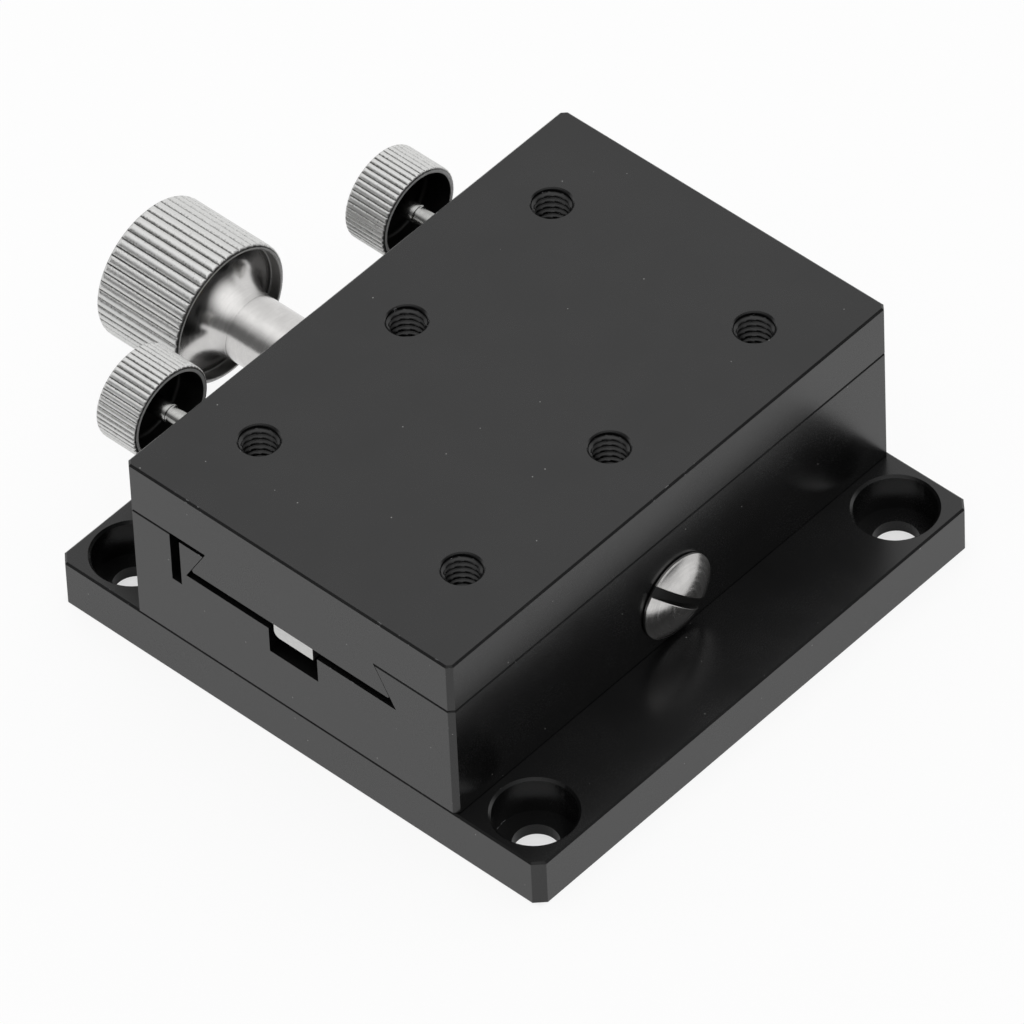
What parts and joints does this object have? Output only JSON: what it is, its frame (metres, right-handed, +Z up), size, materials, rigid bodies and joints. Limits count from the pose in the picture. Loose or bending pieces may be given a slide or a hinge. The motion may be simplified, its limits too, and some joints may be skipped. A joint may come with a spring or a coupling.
{
  "type": "manual linear stage",
  "caption": "Compact manual dovetail stage with rack and pinion drive, knurled drive knob, clamp knobs and a square base plate.",
  "frame": {"origin": "centre of the base plate's bottom face", "axes": "+X is the travel direction, +Y points from the tension screw to the knobs, +Z is up out of the table"},
  "size_m": [0.06, 0.076, 0.025],
  "materials": {
    "black_anodised_aluminium": "satin",
    "knurled_stainless": "satin",
    "polished_steel": "polished",
    "rack_steel": "ground",
    "black_oxide_steel": "satin",
    "brass": "turned",
    "polymer_washer": "matte"
  },
  "bodies": {
    "base": {"base_plate": "black_anodised_aluminium", "base_block": "black_anodised_aluminium", "base_screws": "black_oxide_steel", "stop_pin": "polished_steel", "knob_side_bush": "brass", "screw_side_bush": "brass", "friction_washer": "polymer_washer"},
    "table": {"slide_table": "black_anodised_aluminium", "rack": "rack_steel", "rack_screws": "polished_steel"},
    "pinion": {"pinion_shaft": "polished_steel", "drive_knob": "knurled_stainless", "drive_knob_grub_screw": "black_oxide_steel", "spring_washer": "polished_steel", "tension_screw": "polished_steel"},
    "front_clamp_push": {"front_clamp_tip": "brass"},
    "front_clamp": {"front_clamp_knob": "knurled_stainless", "front_clamp_stud": "polished_steel"},
    "rear_clamp_push": {"rear_clamp_tip": "brass"},
    "rear_clamp": {"rear_clamp_knob": "knurled_stainless", "rear_clamp_stud": "polished_steel"}
  },
  "joints": [
    {"name": "table_travel", "type": "slide", "parent": "base", "child": "table", "axis": [1, 0, 0], "range_m": [-0.015, 0.015]},
    {"name": "pinion_turn", "type": "hinge", "parent": "base", "child": "pinion", "pos_m": [0, 0, 0.0105], "axis": [0, 1, 0], "range_deg": [-287, 287]},
    {"name": "front_clamp_feed", "type": "slide", "parent": "base", "child": "front_clamp_push", "axis": [0, 1, 0], "range_m": [0, 0.0008]},
    {"name": "front_clamp_turn", "type": "hinge", "parent": "front_clamp_push", "child": "front_clamp", "pos_m": [-0.017, 0.03, 0.01645], "axis": [0, 1, 0], "range_deg": [0, 720.5]},
    {"name": "rear_clamp_feed", "type": "slide", "parent": "base", "child": "rear_clamp_push", "axis": [0, 1, 0], "range_m": [0, 0.0008]},
    {"name": "rear_clamp_turn", "type": "hinge", "parent": "rear_clamp_push", "child": "rear_clamp", "pos_m": [0.017, 0.03, 0.01645], "axis": [0, 1, 0], "range_deg": [0, 720.5]}
  ],
  "couplings": [
    {"joint": "pinion_turn", "follows": "table_travel", "rad_per_m": 333.33},
    {"joint": "front_clamp_turn", "follows": "front_clamp_feed", "rad_per_m": 15708},
    {"joint": "rear_clamp_turn", "follows": "rear_clamp_feed", "rad_per_m": 15708}
  ]
}
